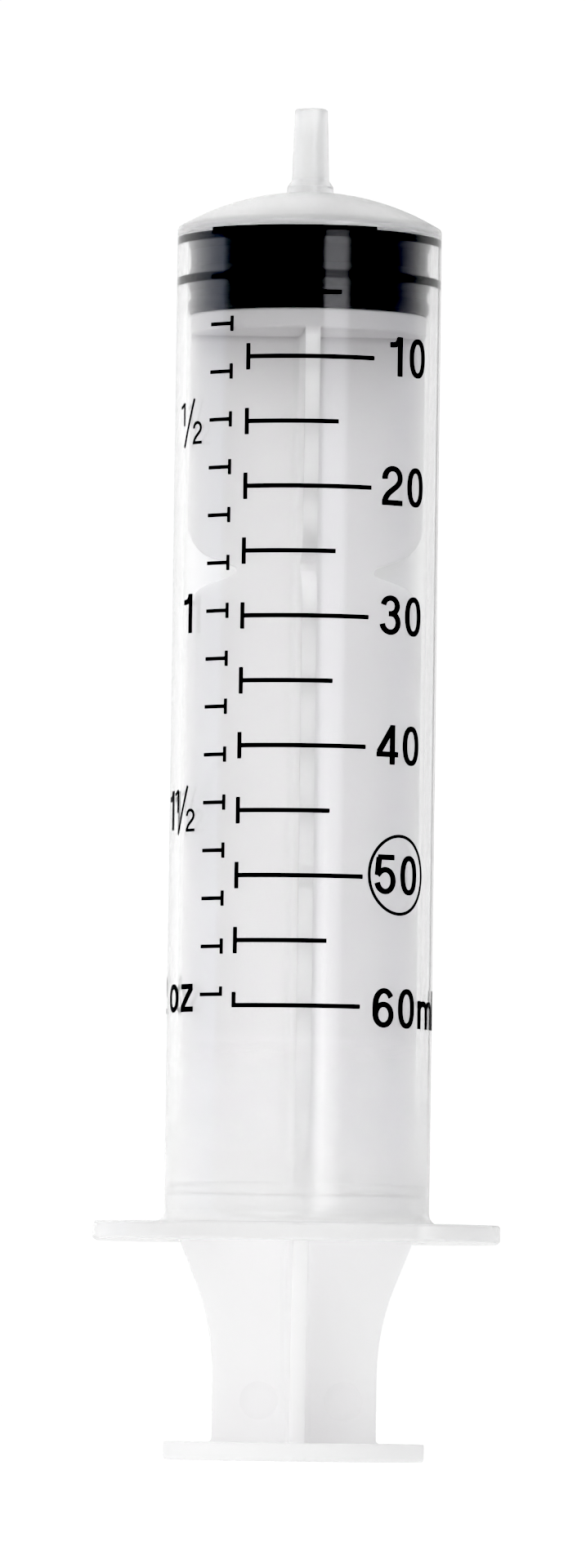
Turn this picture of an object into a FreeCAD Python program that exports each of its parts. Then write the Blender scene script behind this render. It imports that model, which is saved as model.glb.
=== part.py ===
import FreeCAD, Part
import math
import os
from FreeCAD import Vector

# A 60 ml disposable syringe with a plain tapered tip, standing on its thumb rest.
# It is three mouldings: a barrel, a plunger rod and a rubber stopper. Two printed
# scales lie on the barrel as thin layers of ink.
# Frame: the origin is the centre of the thumb rest's underside, +Z runs up the
# syringe's axis to the tip, the flange's ears lie along X and the scales face -Y.
# Millimetres and degrees throughout. Radii of turned forms are measured from the axis.

# Barrel
bore_diameter = 28.9          # the stopper slides in this
barrel_wall = 1.2
barrel_length = 120.0         # flange underside to the shoulder where the dome starts
shoulder_round = 0.5
dome_radius = 30.0            # outside of the domed front end
dome_wall = 1.5
finger_gap = 23.7             # thumb rest to flange with the plunger home

# Flange
flange_width = 47.9           # across the two ears
flange_depth = 35.0
flange_thickness = 2.1
flange_corner_radius = 11.0
flange_edge_round = 0.35
flange_root_radius = 1.4      # inside corner between the barrel and the flange

# Mouth of the barrel, with the bead that keeps the stopper in
mouth_chamfer = 0.6
lead_in_clearance = 0.15      # the first stretch is this much wider than the bore
bead_height = 0.35
bead_length = 1.6
bead_above_flange = 3.9       # flange top to the middle of the bead

# Tip: a six per cent taper, as on every slip-fit medical connector
tip_end_diameter = 3.93
tip_taper = 0.06              # change of diameter over length
tip_length = 8.5
tip_edge_round = 0.3
fluid_bore_diameter = 2.1
fluid_bore_flare = 0.5        # rounding where the passage leaves the dome's inside
hub_diameter = 5.5
hub_height = 1.45             # dome's crown to the tip's base
hub_chamfer_height = 0.8

# Plunger rod
thumb_rest_diameter = 30.8
thumb_rest_thickness = 2.15
thumb_rest_lower_round = 0.5
thumb_rest_upper_round = 0.2
rod_turn = 2.3                # how far the ribs are turned about the axis
rib_clearance = 0.5           # bore to the ribs' outer edges
rib_edge_thickness = 1.7
rib_root_thickness = 2.1
rib_root_round = 1.0
rib_foot_round = 0.5
waist_diameter = 19.4         # across the ribs beside the thumb rest
waist_length = 8.0            # straight stretch of the waist
waist_curve_radius = 29.0
waist_flare_angle = 21.8      # the ribs' outline from the axis, above the curve
waist_top_round = 3.0
mark_diameter = 4.5           # round marks left by the mould's ejector pins
mark_depth = 0.3
right_mark_offset = 5.75      # from the axis
left_mark_offset = 4.2
mark_height = 4.95            # above the thumb rest

# Notch round the four ribs, half way up the barrel
notch_height = 103.0          # above the thumb rest
notch_depth = 5.8
notch_flank_angle = 20.0
notch_corner_radius = 4.2
notch_root_radius = 0.6

# Head of the rod, buttoned into the stopper
plate_thickness = 2.4
plate_edge_round = 0.3
plate_gap = 0.1               # plate to the stopper's underside
neck_diameter = 10.0
neck_length = 2.7
head_diameter = 17.0
head_length = 3.2
head_chamfer = 1.2
head_clearance = 0.05         # running clearance between the head and the rubber

# Stopper
stopper_height = 9.3
stopper_crown = 0.8           # rise of the front face to its middle
seat_gap = 0.05               # front edge to the inside of the dome at zero volume
ring_clearance = 0.03         # sealing rings to the bore
ring_width = 1.0
ring_flank = 0.9
ring_edge_round = 0.2
groove_depth = 0.4
second_ring_below_front = 5.4
skirt_clearance = 0.12        # lower edge bead to the bore
skirt_bead_length = 1.7
pocket_mouth_chamfer = 0.6

# Printed scales
ink_thickness = 0.05
line_width = 0.5
millilitre_range = 60
millilitre_step = 5
millilitre_bar_height = 3.1
millilitre_left = -26.9       # angles round the barrel at zero, from the front, to the right
millilitre_long_right = 30.3
millilitre_short_right = 14.5
millilitre_lean = 0.6         # how far the column of marks leans to the left, downwards
ounce_eighths = 16
ounce_eighth_volume = 29.5735 / 8
ounce_line_width = 0.42
ounce_bar_height = 1.8
ounce_left = -46.7
ounce_right = -34.0
ounce_lean = 0.25

# Forms that cut or are cut run this far past the finished face
overrun = 1.0

# Sizes and heights that follow
bore_radius = bore_diameter / 2
barrel_radius = bore_radius + barrel_wall
rib_radius = bore_radius - rib_clearance
waist_radius = waist_diameter / 2
ring_radius = bore_radius - ring_clearance
millimetres_per_millilitre = 1000 / (math.pi * bore_radius ** 2)

rest_top = thumb_rest_thickness
flange_bottom = rest_top + finger_gap
flange_top = flange_bottom + flange_thickness
shoulder = flange_bottom + barrel_length
dome_centre = shoulder - math.sqrt(dome_radius ** 2 - barrel_radius ** 2)
dome_top = dome_centre + dome_radius
inner_dome_radius = dome_radius - dome_wall
dome_seat = dome_centre + math.sqrt(inner_dome_radius ** 2 - bore_radius ** 2)
tip_base = dome_top + hub_height
tip_end = tip_base + tip_length
zero_mark = dome_seat - seat_gap
stopper_bottom = zero_mark - stopper_height
plate_top = stopper_bottom - plate_gap
plate_bottom = plate_top - plate_thickness
head_bottom = plate_top + neck_length
head_top = head_bottom + head_length


def closed_profile(start, *steps):
    """Face in the XZ plane: a step is the next point, or an arc's middle and end point."""
    edges = []
    here = Vector(start[0], 0, start[1])
    for step in steps + (start,):
        points = step if isinstance(step[0], tuple) else (step,)
        there = [Vector(x, 0, z) for x, z in points]
        if len(there) == 2:
            edges.append(Part.Arc(here, there[0], there[1]).toShape())
        else:
            edges.append(Part.makeLine(here, there[0]))
        here = there[-1]
    return Part.Face(Part.Wire(edges))


def turned(start, *steps):
    """Solid of revolution about Z, from a profile of radius and height."""
    return closed_profile(start, *steps).revolve(Vector(), Vector(0, 0, 1), 360)


def on_circle(centre, radius, angle):
    """Point of a circle, with the angle in degrees from the radius towards +Z."""
    turn = math.radians(angle)
    return (centre[0] + radius * math.cos(turn), centre[1] + radius * math.sin(turn))


def arc(centre, radius, first, last):
    """The middle and end point of an arc from one angle to another, as a profile step."""
    return (on_circle(centre, radius, (first + last) / 2), on_circle(centre, radius, last))


def barrel_outside():
    """Tube, dome, hub and tip as one turned form, flared where it meets the flange."""
    root = flange_root_radius
    root_centre = (barrel_radius + root, flange_top + root)
    dome = (0, dome_centre)
    edge_slope = math.degrees(math.acos(barrel_radius / dome_radius))
    # The shoulder's rounding touches the wall inside and the dome inside
    round_x = barrel_radius - shoulder_round
    reach = dome_radius - shoulder_round
    round_z = dome_centre + math.sqrt(reach ** 2 - round_x ** 2)
    dome_start = math.degrees(math.atan2(round_z - dome_centre, round_x))
    hub_radius = hub_diameter / 2
    hub_start = math.degrees(math.acos(hub_radius / dome_radius))
    base_radius = (tip_end_diameter + tip_taper * tip_length) / 2
    end_radius = tip_end_diameter / 2
    edge_centre = (end_radius - tip_edge_round, tip_end - tip_edge_round)
    assert dome_start > edge_slope
    return turned(
        (0, flange_bottom),
        (barrel_radius + root, flange_bottom),
        (barrel_radius + root, flange_top),
        arc(root_centre, root, 270, 180),
        (barrel_radius, round_z),
        arc((round_x, round_z), shoulder_round, 0, dome_start),
        arc(dome, dome_radius, dome_start, hub_start),
        (hub_radius, tip_base - hub_chamfer_height),
        (base_radius, tip_base),
        (end_radius, tip_end - tip_edge_round),
        arc(edge_centre, tip_edge_round, 0, 90),
        (0, tip_end))


def flange():
    """Plate with two ears, its corners rounded and its edges softened."""
    x = flange_width / 2
    y = flange_depth / 2
    plate = Part.makeBox(flange_width, flange_depth, flange_thickness, Vector(-x, -y, flange_bottom))
    upright = [e for e in plate.Edges if abs(e.tangentAt(e.FirstParameter).z) > 0.9]
    plate = plate.makeFillet(flange_corner_radius, upright)
    rims = [e for e in plate.Edges if abs(e.tangentAt(e.FirstParameter).z) < 0.1]
    return plate.makeFillet(flange_edge_round, rims)


def barrel_inside():
    """Everything that the barrel leaves open: mouth, bead, bore, dome and fluid passage."""
    lead_radius = bore_radius + lead_in_clearance
    bead = flange_top + bead_above_flange
    passage = fluid_bore_diameter / 2
    # The passage's rounding touches the inner dome from within its wall
    round_x = passage + fluid_bore_flare
    reach = inner_dome_radius + fluid_bore_flare
    round_z = dome_centre + math.sqrt(reach ** 2 - round_x ** 2)
    flare_angle = math.degrees(math.atan2(round_z - dome_centre, round_x))
    dome_start = math.degrees(math.acos(bore_radius / inner_dome_radius))
    return turned(
        (0, flange_bottom - overrun),
        (lead_radius + mouth_chamfer, flange_bottom - overrun),
        (lead_radius + mouth_chamfer, flange_bottom),
        (lead_radius, flange_bottom + 2 * mouth_chamfer),
        (lead_radius, bead - bead_length / 2),
        ((bore_radius - bead_height, bead), (bore_radius, bead + bead_length / 2)),
        (bore_radius, dome_seat),
        arc((0, dome_centre), inner_dome_radius, dome_start, flare_angle),
        arc((round_x, round_z), fluid_bore_flare, flare_angle + 180, 180),
        (passage, tip_end + overrun),
        (0, tip_end + overrun))


def barrel():
    """The whole barrel, moulded in one piece."""
    return barrel_outside().fuse(flange()).cut(barrel_inside()).removeSplitter()


def rib_star():
    """Four ribs, thicker at their root, as a straight length from thumb rest to plate."""
    foot = rib_root_thickness / 2
    edge = rib_edge_thickness / 2
    reach = rib_radius + overrun
    drop = (foot - edge) / rib_radius
    inner = foot / (1 + drop)
    outer = foot - drop * reach
    quarter = [(reach, -outer), (reach, outer), (inner, inner)]
    corners = []
    for turn in range(4):
        angle = math.radians(90 * turn)
        for x, y in quarter:
            corners.append(Vector(x * math.cos(angle) - y * math.sin(angle),
                                  x * math.sin(angle) + y * math.cos(angle),
                                  rest_top / 2))
    face = Part.Face(Part.makePolygon(corners + corners[:1]))
    star = face.extrude(Vector(0, 0, plate_top - rest_top / 2))
    near_axis = [e for e in star.Edges
                 if abs(e.tangentAt(e.FirstParameter).z) > 0.9
                 and math.hypot(e.Vertexes[0].X, e.Vertexes[0].Y) < rib_root_thickness]
    return star.makeFillet(rib_root_round, near_axis)


def rib_outline():
    """Turned form that gives the ribs their outer edges: waist, flare, notch and full width."""
    waist_top = rest_top + waist_length
    flare = math.radians(waist_flare_angle)
    curve_centre = (waist_radius + waist_curve_radius, waist_top)
    flare_x = curve_centre[0] - waist_curve_radius * math.cos(flare)
    flare_z = waist_top + waist_curve_radius * math.sin(flare)
    # The flare meets the ribs' full radius with a round of its own
    back = waist_top_round * math.tan(flare / 2)
    corner_z = flare_z + (rib_radius - flare_x) / math.tan(flare)
    round_start = (rib_radius - back * math.sin(flare), corner_z - back * math.cos(flare))
    round_centre = (rib_radius - waist_top_round, corner_z + back)
    # Notch: its root, its two flanks and the large rounds at their outer ends
    notch = rest_top + notch_height
    slope = math.radians(notch_flank_angle)
    root_x = rib_radius - notch_depth + notch_root_radius
    half_root = 90 - notch_flank_angle
    flank_rise = notch_root_radius * math.cos(slope)
    flank_x = root_x - notch_root_radius * math.sin(slope)
    big_x = rib_radius - notch_corner_radius
    touch_x = big_x + notch_corner_radius * math.sin(slope)
    touch_rise = flank_rise + (touch_x - flank_x) * math.tan(slope)
    big_rise = touch_rise + notch_corner_radius * math.cos(slope)
    return turned(
        (0, rest_top / 2),
        (waist_radius + rib_foot_round, rest_top / 2),
        (waist_radius + rib_foot_round, rest_top),
        arc((waist_radius + rib_foot_round, rest_top + rib_foot_round), rib_foot_round, 270, 180),
        (waist_radius, waist_top),
        arc(curve_centre, waist_curve_radius, 180, 180 - waist_flare_angle),
        round_start,
        arc(round_centre, waist_top_round, -waist_flare_angle, 0),
        (rib_radius, notch - big_rise),
        arc((big_x, notch - big_rise), notch_corner_radius, 0, half_root),
        (flank_x, notch - flank_rise),
        arc((root_x, notch), notch_root_radius, 270 - notch_flank_angle, 90 + notch_flank_angle),
        (touch_x, notch + touch_rise),
        arc((big_x, notch + big_rise), notch_corner_radius, -half_root, 0),
        (rib_radius, plate_bottom + plate_thickness / 2),
        (0, plate_bottom + plate_thickness / 2))


def thumb_rest():
    """Flat round plate that the thumb presses."""
    radius = thumb_rest_diameter / 2
    lower = thumb_rest_lower_round
    upper = thumb_rest_upper_round
    return turned(
        (0, 0),
        (radius - lower, 0),
        arc((radius - lower, lower), lower, -90, 0),
        (radius, rest_top - upper),
        arc((radius - upper, rest_top - upper), upper, 0, 90),
        (0, rest_top))


def rod_head():
    """Plate under the stopper, with the neck and the button that hold the rubber."""
    edge = plate_edge_round
    neck = neck_diameter / 2
    head = head_diameter / 2
    return turned(
        (0, plate_bottom),
        (rib_radius - edge, plate_bottom),
        arc((rib_radius - edge, plate_bottom + edge), edge, -90, 0),
        (rib_radius, plate_top - edge),
        arc((rib_radius - edge, plate_top - edge), edge, 0, 90),
        (neck, plate_top),
        (neck, head_bottom),
        (head, head_bottom),
        (head, head_top - head_chamfer),
        (head - head_chamfer, head_top),
        (0, head_top))


def ejector_marks():
    """Two shallow round sinks in the front face of the ribs, beside the thumb rest."""
    drop = (rib_root_thickness - rib_edge_thickness) / 2 / rib_radius
    marks = []
    for x in (-left_mark_offset, right_mark_offset):
        face = -(rib_root_thickness / 2 - drop * abs(x))
        middle = Vector(x, face - overrun, rest_top + mark_height)
        marks.append(Part.makeCylinder(mark_diameter / 2, overrun + mark_depth, middle, Vector(0, 1, 0)))
    return marks


def plunger_rod():
    """The whole rod, moulded in one piece, with its ribs turned as they stand."""
    ribs = rib_star().common(rib_outline())
    for mark in ejector_marks():
        ribs = ribs.cut(mark)
    ribs.rotate(Vector(), Vector(0, 0, 1), rod_turn)
    return ribs.fuse([thumb_rest(), rod_head()]).removeSplitter()


def stopper():
    """Rubber stopper: two sealing rings, a lower bead, and a pocket for the rod's head."""
    groove = ring_radius - groove_depth
    skirt = bore_radius - skirt_clearance
    edge = ring_edge_round
    pocket_neck = neck_diameter / 2 + head_clearance
    pocket_head = head_diameter / 2 + head_clearance
    pocket_bottom = head_bottom - head_clearance
    pocket_top = head_top + head_clearance
    first_low = zero_mark - ring_width
    second_high = zero_mark - second_ring_below_front + ring_width / 2
    second_low = second_high - ring_width
    skirt_bead = stopper_bottom + skirt_bead_length / 2
    return turned(
        (pocket_neck + pocket_mouth_chamfer, stopper_bottom),
        (groove, stopper_bottom),
        ((skirt, skirt_bead), (groove, skirt_bead + skirt_bead_length / 2)),
        (groove, second_low - ring_flank),
        (ring_radius, second_low),
        (ring_radius, second_high),
        (groove, second_high + ring_flank),
        (groove, first_low - ring_flank),
        (ring_radius, first_low),
        (ring_radius, zero_mark - edge),
        arc((ring_radius - edge, zero_mark - edge), edge, 0, 90),
        (0, zero_mark + stopper_crown),
        (0, pocket_top),
        (pocket_head - head_chamfer, pocket_top),
        (pocket_head, pocket_top - head_chamfer),
        (pocket_head, pocket_bottom),
        (pocket_neck, pocket_bottom),
        (pocket_neck, stopper_bottom + pocket_mouth_chamfer))


def ink_patch(left, right, low, high):
    """Patch of ink on the barrel, between two angles round it and two heights."""
    outside = barrel_radius + ink_thickness
    face = closed_profile((barrel_radius, low), (outside, low), (outside, high), (barrel_radius, high))
    # The profile faces +X, and the front of the barrel faces -Y
    face.rotate(Vector(), Vector(0, 0, 1), left - 90)
    return face.revolve(Vector(), Vector(0, 0, 1), right - left)


def ink_mark(line, bar, width, height):
    """One graduation: a line round the barrel and the upright bar at one end of it.

    line is its left and right angle, bar the same for the bar, height the line's
    middle. The bar is given as its angles and its lowest and highest point.
    """
    left, right = line
    bar_left, bar_right, low, high = bar
    stroke = ink_patch(left, right, height - width / 2, height + width / 2)
    upright = ink_patch(bar_left, bar_right, low, high)
    return stroke.fuse(upright).removeSplitter()


def bar_span(height, bar_height, width, first, last):
    """Lowest and highest point of a bar, cut off at the line on a scale's two end marks."""
    low = height - (width / 2 if last else bar_height / 2)
    high = height + (width / 2 if first else bar_height / 2)
    return low, high


def leaned(mark, height, lean):
    """A mark turned as far round the barrel as its leaning column has moved since zero."""
    sideways = (zero_mark - height) * math.tan(math.radians(lean))
    mark.rotate(Vector(), Vector(0, 0, 1), -math.degrees(sideways / barrel_radius))
    return mark


def millilitre_scale():
    """Marks every five millilitres, long ones every ten, each with its bar at the left."""
    bar_angle = math.degrees(line_width / barrel_radius)
    marks = []
    for volume in range(0, millilitre_range + 1, millilitre_step):
        height = zero_mark - volume * millimetres_per_millilitre
        long_mark = volume % (2 * millilitre_step) == 0
        right = millilitre_long_right if long_mark else millilitre_short_right
        low, high = bar_span(height, millilitre_bar_height, line_width,
                             volume == 0, volume == millilitre_range)
        bar = (millilitre_left, millilitre_left + bar_angle, low, high)
        mark = ink_mark((millilitre_left, right), bar, line_width, height)
        marks.append(leaned(mark, height, millilitre_lean))
    return Part.makeCompound(marks)


def ounce_scale():
    """Short marks every eighth of a fluid ounce, each with its bar at the right."""
    bar_angle = math.degrees(ounce_line_width / barrel_radius)
    marks = []
    for eighth in range(ounce_eighths + 1):
        height = zero_mark - eighth * ounce_eighth_volume * millimetres_per_millilitre
        low, high = bar_span(height, ounce_bar_height, ounce_line_width,
                             eighth == 0, eighth == ounce_eighths)
        bar = (ounce_right - bar_angle, ounce_right, low, high)
        mark = ink_mark((ounce_left, ounce_right), bar, ounce_line_width, height)
        marks.append(leaned(mark, height, ounce_lean))
    return Part.makeCompound(marks)


nodes = {
    "barrel": barrel(),
    "plunger_rod": plunger_rod(),
    "stopper": stopper(),
    "millilitre_scale": millilitre_scale(),
    "ounce_scale": ounce_scale(),
}

os.makedirs("parts", exist_ok=True)
for name, shape in nodes.items():
    shape.exportStep("parts/" + name + ".step")
    box = shape.BoundBox
    print(name, "valid", shape.isValid(), "solids", len(shape.Solids), "faces", len(shape.Faces),
          "volume", round(shape.Volume, 1), "z", round(box.ZMin, 2), round(box.ZMax, 2))
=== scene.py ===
"""Finishes a large disposable syringe: its plastics, rubber, print, light and camera.

Everything is in metres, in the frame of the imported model: the origin is the centre of the
thumb rest's underside, +Z runs up the syringe to its tip, and the print faces -Y.
"""

import math

import bpy
import numpy as np
from mathutils import Matrix, Vector


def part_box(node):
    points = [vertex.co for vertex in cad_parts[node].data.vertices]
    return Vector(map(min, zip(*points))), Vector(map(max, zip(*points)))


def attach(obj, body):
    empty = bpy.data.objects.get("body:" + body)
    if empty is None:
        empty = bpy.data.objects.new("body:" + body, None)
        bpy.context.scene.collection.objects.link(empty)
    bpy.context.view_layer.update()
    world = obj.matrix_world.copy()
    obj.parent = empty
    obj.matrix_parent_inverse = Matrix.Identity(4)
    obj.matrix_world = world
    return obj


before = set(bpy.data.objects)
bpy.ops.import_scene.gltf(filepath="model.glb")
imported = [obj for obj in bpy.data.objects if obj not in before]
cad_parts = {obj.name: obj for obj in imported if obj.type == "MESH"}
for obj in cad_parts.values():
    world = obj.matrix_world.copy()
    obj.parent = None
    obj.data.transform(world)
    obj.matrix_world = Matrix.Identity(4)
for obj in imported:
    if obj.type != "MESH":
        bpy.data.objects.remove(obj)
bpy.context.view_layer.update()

bl_info = {
    "name": "Disposable syringe",
    "version": (1, 0, 0),
    "blender": (4, 5, 0),
    "location": "View3D > Sidebar > Syringe",
    "description": "Finishes the pieces of a printed slip-tip syringe and lights them for a picture",
    "category": "Object",
}

MM = 0.001
MILLILITRE = 1e-6
FLUID_OUNCE = 29.5735 * MILLILITRE

# Read from the frame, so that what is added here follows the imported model
barrel_low, barrel_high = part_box("barrel")
stopper_low, stopper_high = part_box("stopper")
print_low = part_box("millilitre_scale")[0]
# The stopper's rings run just clear of the bore, and the wall outside it is 1.2 mm thick
BORE_RADIUS = stopper_high.x + 0.03 * MM
BARREL_RADIUS = BORE_RADIUS + 1.2 * MM
AREA = math.pi * BORE_RADIUS ** 2
# The print ends half a line's width below the middle of the 60 ml mark
ZERO_MARK = print_low.z + 60 * MILLILITRE / AREA + 0.25 * MM
SHOULDER = barrel_high.z - 14.4 * MM
FLANGE_TOP = barrel_low.z + 2.1 * MM
# Height over which the barrel's wall turns milky towards the flange
MILKY_MOUTH = 40 * MM
# Discs left by the mould's ejector pins on the rod's front ribs; the rod's colour is a little darker on
# them, a painted shade of their shallow recesses
PIN_RADIUS = 2.3 * MM
PIN_MARKS = ((-4.16 * MM, -1.0 * MM, 7.1 * MM), (5.785 * MM, -0.6 * MM, 7.1 * MM))
PIN_SHADE = 0.95
# Where the rod's thick foot ends, and the height over which its waxiness fades above that
FOOT_TOP = 22 * MM
FOOT_FADE = 10 * MM


def linear(colour):
    """An sRGB hex colour such as "#E8EBEE" as linear red, green, blue and alpha."""
    parts = [int(colour[i:i + 2], 16) / 255 for i in (1, 3, 5)]
    return tuple(c / 12.92 if c <= 0.04045 else ((c + 0.055) / 1.055) ** 2.4 for c in parts) + (1.0,)


def colour_property(name, description, colour):
    """A colour that a user can change, kept as linear red, green and blue."""
    return bpy.props.FloatVectorProperty(
        name=name, description=description, subtype="COLOR", size=3,
        min=0, max=1, default=linear(colour)[:3])


def length_property(name, description, metres):
    """A length that a user can change, in metres."""
    return bpy.props.FloatProperty(
        name=name, description=description, subtype="DISTANCE", unit="LENGTH",
        min=0, precision=5, default=metres)


def share_property(name, description, share):
    """A share from nought to one that a user can change."""
    return bpy.props.FloatProperty(
        name=name, description=description, subtype="FACTOR", min=0, max=1, default=share)


def number_property(name, description, value):
    """A plain number that a user can change."""
    return bpy.props.FloatProperty(name=name, description=description, default=value)


def angle_property(name, description, degrees):
    """An angle that a user can change."""
    return bpy.props.FloatProperty(
        name=name, description=description, subtype="ANGLE", unit="ROTATION",
        default=math.radians(degrees))


class BarrelLook(bpy.types.PropertyGroup):
    """Finish of the barrel."""

    colour: colour_property("Colour", "Tint of the unfilled polypropylene", "#FFFFFF")
    clarity: share_property("Clarity", "Share of light that passes the thin wall unscattered", 0.975)
    dome_clarity: share_property("Dome clarity", "The same share in the thicker dome and tip", 0.5)
    flange_clarity: share_property("Flange clarity", "The same share in the thick flange", 0.22)
    roughness: share_property("Roughness", "Roughness of the polished faces", 0.05)
    haze: share_property("Haze", "Share of light that the wall scatters forwards", 0.15)
    haze_roughness: share_property("Haze width", "How widely that light is scattered", 0.35)
    index: number_property("Index", "Refractive index of polypropylene", 1.49)


class RodLook(bpy.types.PropertyGroup):
    """Finish of the plunger rod."""

    colour: colour_property("Colour", "Colour of the milky polypropylene", "#FDFCFD")
    glow_depth: length_property("Glow depth", "How far light wanders inside the plastic", 1.1 * MM)
    foot_glow_depth: length_property("Foot glow depth", "The same near the thumb rest", 7.0 * MM)
    roughness: share_property("Roughness", "Satin of the moulded faces", 0.55)


class StopperLook(bpy.types.PropertyGroup):
    """Finish of the rubber stopper."""

    colour: colour_property("Colour", "Colour of the carbon-filled rubber", "#070708")
    roughness: share_property("Roughness", "Dullness of the moulded rubber", 0.45)
    oil_depth: length_property("Oil depth", "How far the oiled contact reaches into the wall", 0.01 * MM)


class PrintLook(bpy.types.PropertyGroup):
    """Size and finish of the printed numbers."""

    colour: colour_property("Colour", "Colour of the printing ink", "#050506")
    figure_height: length_property("Figure height", "Height of the figures", 4.64 * MM)
    upright: length_property("Upright stroke", "Width of a figure's upright strokes", 0.78 * MM)
    level: length_property("Level stroke", "Width of a figure's level strokes", 0.62 * MM)
    thin: length_property("Thin stroke", "Width of the strokes of the small fractions", 0.34 * MM)
    ring_line: length_property("Ring line", "Width of the line round one number", 0.35 * MM)
    ink_depth: length_property("Ink depth", "How far the ink stands off the barrel", 0.04 * MM)


class StageLook(bpy.types.PropertyGroup):
    """Camera and light."""

    lens: number_property("Lens", "Focal length in millimetres on a 36 mm long side", 281.6)
    distance: length_property("Distance", "Camera to the syringe's axis", 1.45)
    height: length_property("Height", "Camera above the floor", 6.87 * MM)
    aim: angle_property("Aim", "How far the camera looks up", 2.888)
    yaw: angle_property("Yaw", "How far the camera looks to its left", 0.0435)
    roll: angle_property("Roll", "How far the camera is tipped to its left", 0.773)
    surround: number_property("Surround", "Brightness of the white surround", 1.02)
    black_level: number_property("Black level", "Light below which the picture is black", 0.062)


def settings(name):
    """The property group of one part of the scene."""
    return getattr(bpy.context.scene, "syringe_" + name)


def add_node(tree, kind, inputs=None, **options):
    """Adds one node: its options, then its inputs, each a plain value or a socket that feeds it."""
    node = tree.nodes.new(kind)
    for key, value in options.items():
        setattr(node, key, value)
    for key, source in (inputs or {}).items():
        if isinstance(source, bpy.types.NodeSocket):
            tree.links.new(source, node.inputs[key])
        else:
            node.inputs[key].default_value = source
    return node


def calculate(tree, operation, *inputs, **options):
    """One step of arithmetic on sockets and plain numbers."""
    node = add_node(tree, "ShaderNodeMath", dict(enumerate(inputs)), operation=operation, **options)
    return node.outputs["Value"]


def climb(tree, source, low, high, first=0.0, last=1.0):
    """A number that goes from first to last while its source goes from low to high."""
    node = add_node(tree, "ShaderNodeMapRange", {
        "Value": source, "From Min": low, "From Max": high, "To Min": first, "To Max": last})
    return node.outputs["Result"]


def between(tree, share, first, second):
    """A number between two others, by a share from nought to one."""
    node = add_node(tree, "ShaderNodeMix", {0: share, 2: first, 3: second}, data_type="FLOAT")
    return node.outputs[0]


def blend(tree, share, first, second, **options):
    """A colour between two others, by a share from nought to one."""
    node = add_node(tree, "ShaderNodeMix", {0: share, 6: first, 7: second}, data_type="RGBA", **options)
    return node.outputs[2]


def dimmed(tree, colour, share):
    """A colour whose brightness is multiplied by a share."""
    node = add_node(tree, "ShaderNodeVectorMath", {0: colour, "Scale": share}, operation="SCALE")
    return node.outputs["Vector"]


def shaded(tree, colour, pattern, low, high):
    """A colour whose brightness follows a pattern from low to high."""
    return dimmed(tree, tuple(colour), climb(tree, pattern, 0.3, 0.7, low, high))


def new_material(name):
    """An empty node material and its tree."""
    material = bpy.data.materials.new(name)
    material.use_nodes = True
    material.node_tree.nodes.clear()
    return material, material.node_tree


def object_place(tree):
    """Object coordinates, and the height in them."""
    place = add_node(tree, "ShaderNodeTexCoord").outputs["Object"]
    return place, add_node(tree, "ShaderNodeSeparateXYZ", {"Vector": place}).outputs["Z"]


def moulded_bump(tree, wave, wave_strength, grain, grain_strength):
    """Bump of a moulded face: slow waves from the cooling and a fine grain from the steel.

    wave and grain are their sizes in metres; both read Object coordinates. Gives the bent
    normal and the pattern of the waves.
    """
    place = add_node(tree, "ShaderNodeTexCoord").outputs["Object"]
    waves = add_node(tree, "ShaderNodeTexNoise", {
        "Scale": 1 / wave, "Detail": 2.0, "Vector": place}).outputs["Fac"]
    grains = add_node(tree, "ShaderNodeTexNoise", {
        "Scale": 1 / grain, "Detail": 3.0, "Vector": place}).outputs["Fac"]
    slow = add_node(tree, "ShaderNodeBump", {
        "Strength": wave_strength, "Distance": wave / 40, "Height": waves}).outputs["Normal"]
    fine = add_node(tree, "ShaderNodeBump", {
        "Strength": grain_strength, "Distance": grain / 10, "Height": grains, "Normal": slow})
    return fine.outputs["Normal"], waves


def natural_polypropylene():
    """Unfilled polypropylene from a polished mould.

    To the eye it is a clear wall with a slight milkiness, hard bright reflections and
    a cool tint where light runs along inside it.
    """
    look = settings("barrel")
    material, tree = new_material("natural_polypropylene")
    normal, waves = moulded_bump(tree, 9 * MM, 0.05, 0.4 * MM, 0.02)
    place, height = object_place(tree)
    # Thick sections cool slowly, grow larger crystals and turn milky: the dome, and more and
    # more steeply the mouth
    dome = climb(tree, height, SHOULDER - 0.8 * MM, SHOULDER + 0.7 * MM, look.clarity, look.dome_clarity)
    mouth = climb(tree, height, FLANGE_TOP, FLANGE_TOP + MILKY_MOUTH, 1.0, 0.0)
    steep = calculate(tree, "POWER", mouth, 4.0)
    lower = climb(tree, steep, 0.0, 1.0, look.clarity, look.flange_clarity)
    milk = calculate(tree, "SUBTRACT", 1.0, calculate(tree, "MINIMUM", dome, lower))
    # The crystals are too small to see, so each ray meets more or less of them
    crystals = add_node(tree, "ShaderNodeTexWhiteNoise", {"Vector": place}).outputs["Value"]
    met = calculate(tree, "MULTIPLY", milk, crystals)
    clarity = calculate(tree, "MULTIPLY_ADD", met, -2.0, 1.0, use_clamp=True)
    tint = shaded(tree, look.colour, waves, 0.99, 1.0)
    polished, hazy = (add_node(tree, "ShaderNodeBsdfPrincipled", {
        "IOR": look.index,
        "Roughness": roughness,
        "Normal": normal,
        "Base Color": tint,
        "Transmission Weight": clarity,
    }).outputs["BSDF"] for roughness in (look.roughness, look.haze_roughness))
    mix = add_node(tree, "ShaderNodeMixShader", {"Fac": look.haze, 1: polished, 2: hazy})
    add_node(tree, "ShaderNodeOutputMaterial", {"Surface": mix.outputs["Shader"]})
    return material


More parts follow.
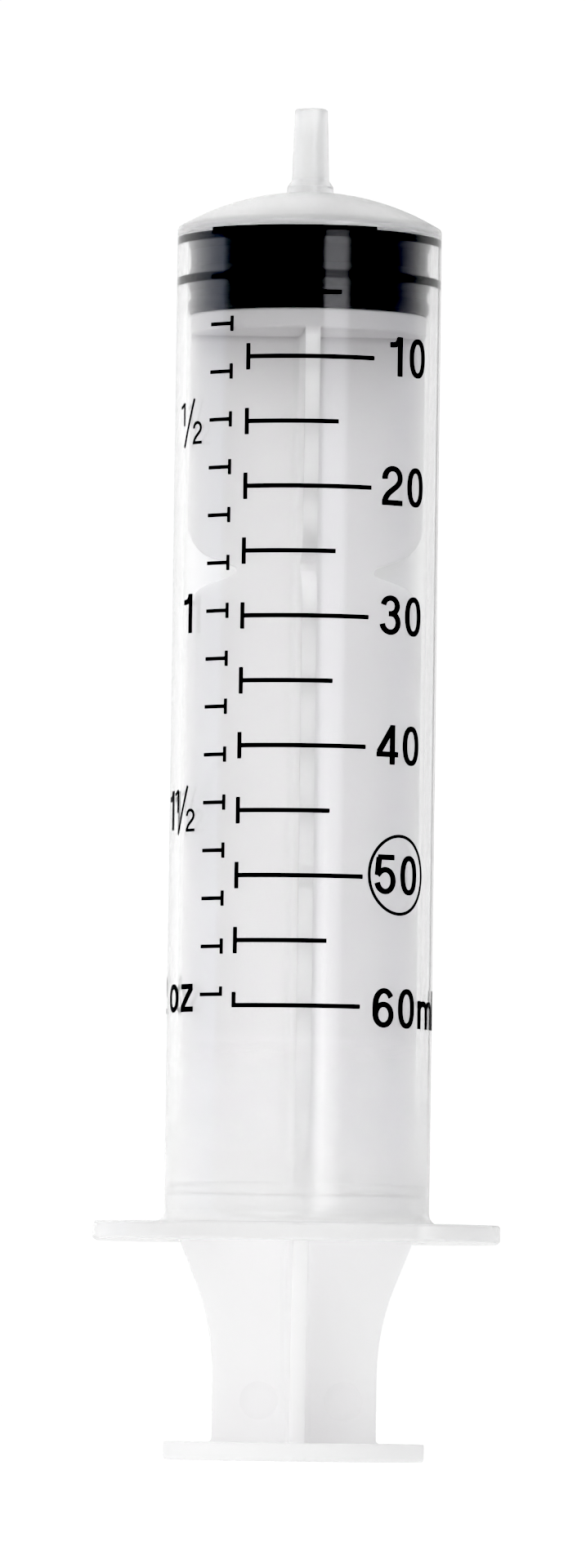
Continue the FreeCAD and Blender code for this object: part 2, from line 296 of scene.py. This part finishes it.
def milky_polypropylene():
    """Polypropylene with a trace of white, from a satin mould.

    To the eye it is a white that glows softly at its edges, with a broad dull sheen.
    """
    look = settings("rod")
    material, tree = new_material("white_polypropylene")
    normal, waves = moulded_bump(tree, 5 * MM, 0.08, 0.2 * MM, 0.06)
    place, height = object_place(tree)
    # The thick foot cools last and stays waxy
    glow = climb(tree, height, FOOT_TOP, FOOT_TOP + FOOT_FADE, look.foot_glow_depth, look.glow_depth)
    # Painted shade: the rod's colour darkens just below the stopper, standing in for light that wanders
    # up to the stopper and is absorbed by the black rubber
    painted_stopper_shade = climb(tree, height, stopper_low.z - 3.4 * MM, stopper_low.z - 2.2 * MM, 1.0, 0.7)
    tint = dimmed(tree, shaded(tree, look.colour, waves, 0.985, 1.0), painted_stopper_shade)
    # Painted shade: each ejector mark's disc is darkened as the shade in its shallow recess would be
    for centre in PIN_MARKS:
        reach = add_node(tree, "ShaderNodeVectorMath", {0: place, 1: centre}, operation="DISTANCE")
        edge = climb(tree, reach.outputs["Value"], PIN_RADIUS - 0.1 * MM, PIN_RADIUS + 0.05 * MM,
                     PIN_SHADE, 1.0)
        tint = dimmed(tree, tint, edge)
    shader = add_node(tree, "ShaderNodeBsdfPrincipled", {
        "Roughness": look.roughness,
        "Specular IOR Level": 0.25,
        "Subsurface Weight": 1.0,
        "Subsurface Radius": (1.0, 0.97, 1.0),
        "Subsurface Scale": glow,
        "Normal": normal,
        "Base Color": tint,
    })
    add_node(tree, "ShaderNodeOutputMaterial", {"Surface": shader.outputs["BSDF"]})
    return material


def oiled_rubber():
    """Carbon-filled rubber, moulded, with a film of silicone oil.

    To the eye it is a deep black with a soft grey sheen on its edges.
    """
    look = settings("stopper")
    material, tree = new_material("black_rubber")
    normal, waves = moulded_bump(tree, 3 * MM, 0.1, 0.15 * MM, 0.15)
    shader = add_node(tree, "ShaderNodeBsdfPrincipled", {
        "Roughness": look.roughness,
        "Specular IOR Level": 0.15,
        "Normal": normal,
        "Base Color": shaded(tree, look.colour, waves, 0.8, 1.2),
    })
    add_node(tree, "ShaderNodeOutputMaterial", {"Surface": shader.outputs["BSDF"]})
    return material


def printing_ink():
    """Black screen ink on plastic. To the eye it is flat black with hardly any shine."""
    look = settings("ink")
    material, tree = new_material("black_ink")
    place = object_place(tree)[0]
    # Ink pinholes and mesh marks of a 0.15 mm screen
    screen = add_node(tree, "ShaderNodeTexNoise", {
        "Scale": 1 / (0.15 * MM), "Detail": 2.0, "Vector": place}).outputs["Fac"]
    shader = add_node(tree, "ShaderNodeBsdfPrincipled", {
        "IOR": 1.4,
        "Roughness": climb(tree, screen, 0.0, 1.0, 0.5, 0.75),
        "Base Color": shaded(tree, look.colour, screen, 0.8, 1.2),
    })
    add_node(tree, "ShaderNodeOutputMaterial", {"Surface": shader.outputs["BSDF"]})
    return material


def cover(piece, material):
    """Gives every material slot of a piece the same material."""
    slots = piece.data.materials
    if not slots:
        slots.append(material)
    for index in range(len(slots)):
        slots[index] = material


def mesh_piece(name, points, faces, material, smooth=True):
    """An object whose place is in its mesh, from arrays of points and four-sided faces."""
    mesh = bpy.data.meshes.new(name)
    mesh.from_pydata(points.tolist(), [], faces.tolist())
    mesh.polygons.foreach_set("use_smooth", np.full(len(mesh.polygons), smooth))
    mesh.update()
    piece = bpy.data.objects.new(name, mesh)
    bpy.context.scene.collection.objects.link(piece)
    if material:
        piece.data.materials.append(material)
    return piece


def grid_faces(rows, columns, closed_rows=False, closed_columns=False):
    """Faces of a grid of points, numbered row by row; a closed direction joins its ends."""
    last_row = rows if closed_rows else rows - 1
    last_column = columns if closed_columns else columns - 1
    row, column = np.meshgrid(np.arange(last_row), np.arange(last_column), indexing="ij")
    below = (row + 1) % rows
    beside = (column + 1) % columns
    corners = [row * columns + column, row * columns + beside,
               below * columns + beside, below * columns + column]
    return np.stack([c.ravel() for c in corners], 1)


def turned_surface(profile, steps):
    """Surface of revolution: each point of the profile, a radius and a height, goes round a circle.

    The point at angle a is (radius sin a, -radius cos a, height), so a nought angle is the front.
    """
    angles = np.linspace(0, 2 * math.pi, steps, endpoint=False)
    radius, height = np.asarray(profile, float).T
    points = np.stack([np.outer(radius, np.sin(angles)),
                       -np.outer(radius, np.cos(angles)),
                       np.repeat(height[:, None], steps, 1)], 2)
    return points.reshape(-1, 3)


# Strokes of the printed letters, drawn in millimetres at this height. Each is the middle of
# its ink, from the left edge and the foot of the letter.
DRAWN_HEIGHT = 4.64


def run(*corners, spacing=0.18):
    """Points along straight lines from corner to corner."""
    chain = [np.array(corners[:1], float)]
    for start, end in zip(corners, corners[1:]):
        start, end = np.array(start, float), np.array(end, float)
        count = max(1, int(math.ceil(np.linalg.norm(end - start) / spacing)))
        share = np.linspace(0, 1, count + 1)[1:, None]
        chain.append(start + share * (end - start))
    return np.concatenate(chain)


def oval(centre, half, first, last, count=26, squareness=2.0):
    """Points of an oval from one angle to another, anticlockwise from +x, in degrees.

    Its half width goes with the cosine and its half height with the sine. A squareness
    of 2 is an ellipse, and more than 2 pushes the oval out towards its corners.
    """
    angle = np.radians(np.linspace(first, last, count))
    cosine, sine = np.cos(angle), np.sin(angle)
    power = 2 / squareness
    x = centre[0] + half[0] * np.sign(cosine) * np.abs(cosine) ** power
    y = centre[1] + half[1] * np.sign(sine) * np.abs(sine) ** power
    return np.stack([x, y], 1)


def bend(start, leave, arrive, end, count=18):
    """Points of a cubic curve from start to end, which leaves and arrives along two handles."""
    share = np.linspace(0, 1, count)[:, None]
    rest = 1 - share
    return (rest ** 3 * np.array(start) + 3 * rest ** 2 * share * np.array(leave)
            + 3 * rest * share ** 2 * np.array(arrive) + share ** 3 * np.array(end))


def chain(*parts):
    """Joins parts of a stroke that meet end to end."""
    return np.concatenate([parts[0]] + [part[1:] for part in parts[1:]])


# Letter: its width, then its strokes
LETTERS = {
    "0": (3.1, [oval((1.55, 2.32), (1.17, 2.01), 90, 450, 61, 2.3)]),
    "1": (2.0, [run((1.58, 0.0), (1.58, 4.64)),
                chain(run((0.02, 3.66), (0.55, 3.68)),
                      bend((0.55, 3.68), (1.05, 3.72), (1.36, 3.98), (1.46, 4.5)))]),
    "2": (3.25, [chain(oval((1.62, 3.23), (1.17, 1.1), 188, -14),
                       bend((2.76, 2.96), (2.55, 2.0), (0.62, 1.75), (0.46, 0.42))),
                 run((0.06, 0.31), (3.2, 0.31))]),
    "3": (3.1, [oval((1.5, 3.4), (1.07, 0.93), 172, -82),
                oval((1.5, 1.42), (1.22, 1.11), 84, -172, 30),
                run((1.25, 2.48), (1.75, 2.48))]),
    "4": (3.3, [run((2.38, 0.0), (2.38, 4.64)),
                run((2.22, 4.2), (0.36, 1.42)),
                run((0.04, 1.19), (3.3, 1.19))]),
    "5": (3.25, [run((0.52, 4.33), (3.0, 4.33)),
                 run((0.68, 4.3), (0.46, 2.2)),
                 chain(bend((0.46, 2.2), (0.85, 2.72), (1.3, 2.86), (1.62, 2.86)),
                       oval((1.62, 1.58), (1.22, 1.28), 90, -168, 32))]),
    "6": (3.2, [oval((1.66, 1.52), (1.18, 1.21), 90, 450, 45),
                chain(oval((1.72, 2.75), (1.25, 1.58), 32, 180, 26),
                      run((0.47, 2.75), (0.48, 1.5)))]),
    "m": (5.35, [run((0.4, 0.0), (0.4, 3.3)),
                 chain(oval((1.53, 2.15), (1.13, 0.84), 160, 0, 18), run((2.66, 2.15), (2.66, 0.0))),
                 chain(oval((3.79, 2.15), (1.13, 0.84), 160, 0, 18), run((4.92, 2.15), (4.92, 0.0)))]),
    "l": (0.8, [run((0.4, 0.0), (0.4, 4.64))]),
    "o": (3.0, [oval((1.5, 1.66), (1.12, 1.36), 90, 450, 49, 2.2)]),
    "z": (2.75, [run((0.12, 2.98), (2.6, 2.98)),
                 run((2.42, 2.85), (0.34, 0.45)),
                 run((0.06, 0.31), (2.7, 0.31))]),
    "/": (2.7, [run((0.15, 0.0), (2.55, 5.65), spacing=0.4)]),
    "ring": (9.4, [oval((4.7, 4.72), (4.56, 4.58), 90, 450, 121)]),
}
# The line that joins the zero marks of the two scales
LETTERS["bar"] = (5.52, [run((0.0, 0.0), (5.52, 0.0))])
LETTERS["half 1"] = (1.2, [run((1.0, 0.0), (1.0, 2.7)), run((0.0, 2.2), (0.35, 2.24), (0.9, 2.6))])
LETTERS["half 2"] = (1.9, [chain(oval((0.96, 1.92), (0.72, 0.62), 186, -14, 16),
                                 bend((1.66, 1.77), (1.5, 1.2), (0.42, 1.0), (0.26, 0.22), 12)),
                           run((0.04, 0.17), (1.88, 0.17))])


def stroke_bar(path, upright, level, left, low, bottom, top):
    """Closed bar of ink along a path that lies on the barrel.

    The path's points are metres round the barrel and up it. The pen is a flat oval, so at
    each point the stroke is as wide as its direction asks: the upright width where it runs
    up, the level width where it runs round. Distance round the barrel becomes an angle by
    dividing by the radius, and the four long edges stand at two radii, bottom and top.
    """
    path = path + (left, low)
    ahead = np.gradient(path, axis=0)
    if np.allclose(path[0], path[-1]):
        ahead[0] = ahead[-1] = path[1] - path[-2]
    ahead /= np.linalg.norm(ahead, axis=1)[:, None]
    width = np.hypot(upright * ahead[:, 1], level * ahead[:, 0])[:, None]
    side = np.stack([-ahead[:, 1], ahead[:, 0]], 1) * width / 2
    flat = np.stack([path + side, path - side, path - side, path + side], 1)
    radius = np.array([bottom, bottom, top, top])
    angle = flat[:, :, 0] / BARREL_RADIUS
    points = np.stack([radius * np.sin(angle), -radius * np.cos(angle), flat[:, :, 1]], 2)
    count = len(path)
    faces = grid_faces(count, 4, closed_columns=True)[:, ::-1]
    first = np.array([[0, 1, 2, 3]])
    last = np.array([[3, 2, 1, 0]]) + (count - 1) * 4
    return points.reshape(-1, 3), np.concatenate([faces, first, last])


def printed(name, words, material):
    """One piece of print from many letters.

    words is a list of (letter, angle, height, upright, level): the angle of the letter's
    left edge, the height of its foot, and the widths of its strokes.
    """
    look = settings("ink")
    bottom, top = BARREL_RADIUS - 0.01 * MM, BARREL_RADIUS + look.ink_depth
    scale = look.figure_height / DRAWN_HEIGHT
    points, faces, count = [], [], 0
    for letter, angle, height, upright, level in words:
        left = math.radians(angle) * BARREL_RADIUS
        for order, stroke in enumerate(LETTERS[letter][1]):
            # Strokes of a letter overlap, so each stands a hair further out than the last
            lift = order * 0.002 * MM
            bar, sides = stroke_bar(stroke * scale, upright, level, left, height, bottom, top + lift)
            points.append(bar)
            faces.append(sides + count)
            count += len(bar)
    piece = mesh_piece(name, np.concatenate(points), np.concatenate(faces), material, smooth=False)
    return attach(piece, "barrel")


def millilitre_height(volume):
    """Height of the mark for a volume in millilitres."""
    return ZERO_MARK - volume * MILLILITRE / AREA


def ounce_height(eighths):
    """Height of the mark for a number of eighths of a fluid ounce."""
    return ZERO_MARK - eighths * FLUID_OUNCE / 8 / AREA


def angle_of(width):
    """Angle in degrees that a width in millimetres takes up round the barrel."""
    return math.degrees(width * MM / BARREL_RADIUS)


class FinishBarrel(bpy.types.Operator):
    """Gives the barrel its polished, slightly milky polypropylene"""

    bl_idname = "syringe.finish_barrel"
    bl_label = "Finish the barrel"

    def execute(self, context):
        cover(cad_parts["barrel"], natural_polypropylene())
        return {"FINISHED"}


class FinishRod(bpy.types.Operator):
    """Gives the plunger rod its satin white polypropylene"""

    bl_idname = "syringe.finish_rod"
    bl_label = "Finish the plunger rod"

    def execute(self, context):
        cover(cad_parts["plunger_rod"], milky_polypropylene())
        return {"FINISHED"}


class FinishStopper(bpy.types.Operator):
    """Gives the stopper its black rubber and wets its rings against the wall"""

    bl_idname = "syringe.finish_stopper"
    bl_label = "Finish the stopper"

    def execute(self, context):
        rubber = oiled_rubber()
        cover(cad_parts["stopper"], rubber)
        look = settings("stopper")
        outer = BORE_RADIUS + look.oil_depth
        inner = BORE_RADIUS - 0.2 * MM
        # Each ring is wet over about a millimetre, measured down from the zero mark
        bands = {"first_ring_contact": (ZERO_MARK - 1.0 * MM, ZERO_MARK - 0.05 * MM),
                 "second_ring_contact": (ZERO_MARK - 5.9 * MM, ZERO_MARK - 4.9 * MM)}
        for name, (low, high) in bands.items():
            profile = [(inner, low), (outer, low), (outer, high), (inner, high)]
            points = turned_surface(profile, 192)
            faces = grid_faces(4, 192, closed_rows=True, closed_columns=True)
            piece = mesh_piece(name, points, faces, rubber, smooth=False)
            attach(piece, "stopper")
        return {"FINISHED"}


class PrintMarks(bpy.types.Operator):
    """Inks the two scales and prints the numbers beside them"""

    bl_idname = "syringe.print_marks"
    bl_label = "Print the scales"

    def execute(self, context):
        look = settings("ink")
        ink = printing_ink()
        for name in ("millilitre_scale", "ounce_scale"):
            cover(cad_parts[name], ink)
        bold = (look.upright, look.level)
        fine = (look.thin, look.thin)

        # Numbers: the nought's left edge moves left down the barrel, and the first figure
        # ends a little before it
        numbers = []
        for volume in range(10, 61, 10):
            foot = millilitre_height(volume) - (2.36 if volume == 60 else 1.93) * MM
            nought = 49.9 - 0.042 * (volume - 10)
            figure = str(volume)[0]
            gap = 1.25 if figure == "1" else 0.85
            start = nought - angle_of(gap + LETTERS[figure][0])
            numbers.append((figure, start, foot, *bold))
            numbers.append(("0", nought, foot, *bold))
        foot = millilitre_height(60) - 2.3 * MM
        unit = nought + angle_of(3.1 + 0.95)
        numbers.append(("m", unit, foot, *bold))
        numbers.append(("l", unit + angle_of(5.35 + 0.55), foot, *bold))
        printed("millilitre_numbers", numbers, ink)
        # At zero one thick line joins the marks of the two scales
        thick = 0.8 * MM
        printed("zero_line", [("bar", -46.7, ZERO_MARK - 0.15 * MM, thick, thick)], ink)
        printed("fifty_ring", [("ring", 30.1, millilitre_height(50) - 4.35 * MM,
                                look.ring_line, look.ring_line)], ink)

        # Ounce numbers, each at the left of its mark
        words = [("1", -64.9, ounce_height(8) - 2.44 * MM, *bold)]
        for eighths, shift, drop in ((4, 0.0, 0.0), (12, -1.4, 0.62)):
            foot = ounce_height(eighths) - drop * MM
            words.append(("half 1", -71.0 + shift, foot - 0.4 * MM, *fine))
            words.append(("/", -67.4 + shift, foot - 2.95 * MM, *fine))
            words.append(("half 2", -59.1 + shift, foot - 2.7 * MM, *fine))
        words.append(("1", -81.3, ounce_height(12) - 3.0 * MM, *bold))
        foot = ounce_height(16) - 2.0 * MM
        words.append(("z", -62.9, foot, *bold))
        words.append(("o", -62.9 - angle_of(3.0 + 0.7), foot, *bold))
        words.append(("2", -62.9 - angle_of(6.0 + 3.25 + 1.5), foot, *bold))
        printed("ounce_numbers", words, ink)
        return {"FINISHED"}


def camera_matrix(look):
    """Where the camera stands and how it is turned: raised by the aim, then rolled about its view."""
    forward = Vector((-math.sin(look.yaw) * math.cos(look.aim),
                      math.cos(look.yaw) * math.cos(look.aim), math.sin(look.aim)))
    right = Vector((math.cos(look.yaw), math.sin(look.yaw), 0))
    up = right.cross(forward)
    turned_right = right * math.cos(look.roll) + up * math.sin(look.roll)
    turned_up = up * math.cos(look.roll) - right * math.sin(look.roll)
    matrix = Matrix((turned_right, turned_up, -forward)).transposed().to_4x4()
    matrix.translation = (0, -look.distance, look.height)
    return matrix


# A ramp's colours stop at one, so they are kept divided by this
RAMP_SCALE = 4.0

# Light round the syringe by angle to the right of the camera, as greys or as red, green and
# blue: what mirrors and clear walls see
STUDIO = (
    (-180, 0.95), (-168, 1.2), (-150, 1.15), (-142, 1.24), (-130, 1.36), (-118, (1.36, 1.36, 1.4)),
    (-108, (1.2, 1.22, 1.3)), (-99, (1.04, 1.07, 1.2)), (-90, (0.84, 0.9, 1.06)),
    (-80.2, (0.7, 0.78, 1.0)), (-78.4, 0), (12.6, 0), (15.5, (1.75, 1.75, 1.85)),
    (31.5, (1.8, 1.8, 1.9)), (34.4, (1.2, 1.2, 1.27)), (37.4, 0), (76, (0, 0, 0.03)),
    (84, (0.06, 0.06, 0.12)), (92, (0.17, 0.18, 0.26)), (104, (0.5, 0.5, 0.56)), (116, 0.9),
    (130, 1.06), (146, 0.98), (158, 1.0), (167, 0.98), (173, 0.66), (180, 0.72),
)
# Near the floor the strip has a bright core
STRIP_CORE = (
    (14.6, 1.7), (18, 3.0), (21, (4.0, 4.0, 3.95)), (23.8, (2.9, 2.9, 2.85)), (29.7, 1.85),
    (35, 0.8), (38.5, 0),
)
STUDIO_LOW = tuple(sorted(tuple(stop for stop in STUDIO if not 13 < stop[0] < 38) + STRIP_CORE))
# A small lamp above the camera, to its left
LAMP = ((-44, 0), (-38, 3.0), (-6, 3.0), (0, 0))
# The same for dull surfaces, which see the whole room at once
SOFT_LIGHT = (
    (-180, 0.8), (-120, 0.64), (-90, 0.83), (-50, 1.28), (-25, 1.56), (0, 0.9), (25, 0.5),
    (60, 0.62), (120, 0.7), (180, 0.8),
)
# And for what lies inside the barrel, for which the milky wall gathers light from all round
INNER_LIGHT = (
    (-180, 1.22), (-90, 1.66), (-25, 1.55), (-8, (1.62, 1.62, 1.63)), (10, (1.65, 1.65, 1.67)),
    (25, (1.62, 1.62, 1.66)), (42, (1.4, 1.4, 1.43)), (60, (1.05, 1.05, 1.08)),
    (90, (0.85, 0.85, 0.88)), (120, (0.85, 0.85, 0.87)), (180, 1.22),
)
# Strength of the studio's ceiling against its walls, and of the two soft lights at the level
# of the syringe and overhead
CEILING = 0.85
OVERHEAD = (0.92, 1.02)
INNER_OVERHEAD = (0.5, 2.85)
# The floor is a light table. Each ring of it, by its radius in metres, has a glow for the open
# air and one for what lies inside the barrel
FLOOR_RINGS = (0.0, 0.02, 0.03, 0.04, 0.05, 0.065, 0.08, 0.1, 0.14, 0.2, 0.6, 2.0, 9.0)
FLOOR_GLOW = {
    "glow": (0.7, 0.7, 0.7, 0.72, 0.74, 0.74, 0.72, 0.68, 0.65, 0.62, 0.6, 0.6, 0.6),
    "inner_glow": (0.3, 0.3, 0.35, 0.45, 0.62, 0.92, 1.2, 1.35, 1.05, 0.6, 0.35, 0.3, 0.3),
}
# Seen itself, the floor is as white as the surround
FLOOR_SHOWN = 0.78


def ramp(tree, stops, source):
    """Colour ramp round the syringe from a list of angles in degrees and colours."""
    node = add_node(tree, "ShaderNodeValToRGB", {"Fac": source})
    elements = node.color_ramp.elements
    while len(elements) < len(stops):
        elements.new(0.5)
    for element, (angle, colour) in zip(elements, stops):
        element.position = angle / 360 + 0.5
        element.color = (*(np.full(3, colour) / RAMP_SCALE), 1)
    return node.outputs["Color"]


def white_surround(look):
    """The world: white to the camera, and to other rays a room painted by direction."""
    world = bpy.data.worlds.new("white_surround")
    world.use_nodes = True
    tree = world.node_tree
    tree.nodes.clear()
    direction = add_node(tree, "ShaderNodeTexCoord").outputs["Generated"]
    parts = add_node(tree, "ShaderNodeSeparateXYZ", {"Vector": direction}).outputs
    height = parts["Z"]
    angle = calculate(tree, "ARCTAN2", parts["X"], calculate(tree, "MULTIPLY", parts["Y"], -1.0))
    turn = climb(tree, angle, -math.pi, math.pi)
    walls = blend(tree, climb(tree, height, 0.028, 0.06),
                  ramp(tree, STUDIO_LOW, turn), ramp(tree, STUDIO, turn))
    window = calculate(tree, "MULTIPLY", climb(tree, height, 0.36, 0.4), climb(tree, height, 0.66, 0.62))
    hard = blend(tree, window, walls, ramp(tree, LAMP, turn), blend_type="ADD")
    seen = add_node(tree, "ShaderNodeBackground", {
        "Color": hard, "Strength": climb(tree, height, 0.14, 0.4, RAMP_SCALE, RAMP_SCALE * CEILING)})

    path = add_node(tree, "ShaderNodeLightPath").outputs
    inside = calculate(tree, "GREATER_THAN", path["Transmission Depth"], 0.5)
    soft = blend(tree, inside, ramp(tree, SOFT_LIGHT, turn), ramp(tree, INNER_LIGHT, turn))
    # The white ceiling outshines the walls, which counts for what the stopper shades
    strengths = [climb(tree, height, 0.0, 0.9, RAMP_SCALE * low, RAMP_SCALE * high)
                 for low, high in (OVERHEAD, INNER_OVERHEAD)]
    lighting = add_node(tree, "ShaderNodeBackground", {
        "Color": soft, "Strength": between(tree, inside, *strengths)})

    dull = calculate(tree, "GREATER_THAN", path["Diffuse Depth"], 0.5)
    both = add_node(tree, "ShaderNodeMixShader", {
        0: dull, 1: seen.outputs["Background"], 2: lighting.outputs["Background"]})
    paper = add_node(tree, "ShaderNodeBackground", {"Color": (1, 1, 1, 1), "Strength": look.surround})
    white = add_node(tree, "ShaderNodeMixShader", {
        0: path["Is Camera Ray"], 1: both.outputs["Shader"], 2: paper.outputs["Background"]})
    add_node(tree, "ShaderNodeOutputWorld", {"Surface": white.outputs["Shader"]})
    # The light differs by kind of ray, so it is found by bounces alone
    world.cycles.sampling_method = "NONE"
    return world


def pale_floor():
    """The light table: a flat sheet with its two glows kept on its points."""
    material, tree = new_material("pale_floor")
    path = add_node(tree, "ShaderNodeLightPath").outputs
    inside = calculate(tree, "GREATER_THAN", path["Transmission Depth"], 0.5)
    glows = [add_node(tree, "ShaderNodeAttribute", attribute_name=name).outputs["Fac"]
             for name in FLOOR_GLOW]
    bright = between(tree, inside, *glows)
    grey = blend(tree, inside, (0.35, 0.35, 0.35, 1), (0.1, 0.1, 0.1, 1))
    dull = add_node(tree, "ShaderNodeBsdfDiffuse", {"Color": grey})
    lit = add_node(tree, "ShaderNodeEmission", {
        "Strength": between(tree, path["Is Camera Ray"], bright, FLOOR_SHOWN)})
    both = add_node(tree, "ShaderNodeAddShader", {0: dull.outputs["BSDF"], 1: lit.outputs["Emission"]})
    add_node(tree, "ShaderNodeOutputMaterial", {"Surface": both.outputs["Shader"]})

    # Its grid is fine at the middle and grows outwards as the hyperbolic sine
    steps = 81
    spread = np.sinh(np.linspace(-6.5, 6.5, steps))
    spread *= FLOOR_RINGS[-1] / spread[-1]
    across, deep = np.meshgrid(spread, spread, indexing="ij")
    points = np.stack([across, deep, np.zeros_like(across)], 2).reshape(-1, 3)
    floor = mesh_piece("pale_floor", points, grid_faces(steps, steps)[:, ::-1], material)
    reach = np.hypot(across, deep).ravel()
    for name, values in FLOOR_GLOW.items():
        shine = floor.data.attributes.new(name, "FLOAT", "POINT")
        shine.data.foreach_set("value", np.interp(reach, FLOOR_RINGS, values).astype(np.float32))
    return floor


def long_lens(look):
    """The camera, which stands well back and looks a little up."""
    camera_data = bpy.data.cameras.new("camera")
    camera_data.lens = look.lens
    camera_data.sensor_width = 36
    camera_data.sensor_fit = "AUTO"
    camera_data.clip_start = 0.05
    camera_data.clip_end = 40
    camera = bpy.data.objects.new("camera", camera_data)
    camera.matrix_world = camera_matrix(look)
    return camera


class SetStage(bpy.types.Operator):
    """Sets up the pale floor, the soft lights and the camera"""

    bl_idname = "syringe.set_stage"
    bl_label = "Set the stage"

    def execute(self, context):
        look = settings("stage")
        scene = context.scene
        scene.world = white_surround(look)
        # Light goes to and fro many times between the ribs and the wall
        scene.cycles.diffuse_bounces = 8
        scene.cycles.max_bounces = 24
        scene.cycles.transmission_bounces = 20

        view = scene.view_settings
        view.view_transform = "Standard"
        view.use_curve_mapping = True
        view.curve_mapping.black_level = (look.black_level,) * 3
        view.curve_mapping.update()

        floor = pale_floor()

        camera = long_lens(look)
        scene.collection.objects.link(camera)
        scene.camera = camera
        return {"FINISHED"}


class SyringePanel(bpy.types.Panel):
    """Lists the steps that finish the syringe"""

    bl_idname = "VIEW3D_PT_syringe"
    bl_label = "Syringe"
    bl_space_type = "VIEW_3D"
    bl_region_type = "UI"
    bl_category = "Syringe"

    def draw(self, context):
        for step in STEPS:
            self.layout.operator(step.bl_idname)


GROUPS = {"barrel": BarrelLook, "rod": RodLook, "stopper": StopperLook,
          "ink": PrintLook, "stage": StageLook}
STEPS = (FinishBarrel, FinishRod, FinishStopper, PrintMarks, SetStage)


def register():
    """Makes the settings, steps and panel known to Blender."""
    for kind in (*GROUPS.values(), *STEPS, SyringePanel):
        bpy.utils.register_class(kind)
    for name, group in GROUPS.items():
        setattr(bpy.types.Scene, "syringe_" + name, bpy.props.PointerProperty(type=group))


def unregister():
    """Takes them away again."""
    for name in GROUPS:
        delattr(bpy.types.Scene, "syringe_" + name)
    for kind in (SyringePanel, *reversed(STEPS), *reversed(list(GROUPS.values()))):
        bpy.utils.unregister_class(kind)


def main():
    """Runs every step in order."""
    register()
    bpy.ops.syringe.finish_barrel()
    bpy.ops.syringe.finish_rod()
    bpy.ops.syringe.finish_stopper()
    bpy.ops.syringe.print_marks()
    bpy.ops.syringe.set_stage()


if __name__ == "__main__":
    main()
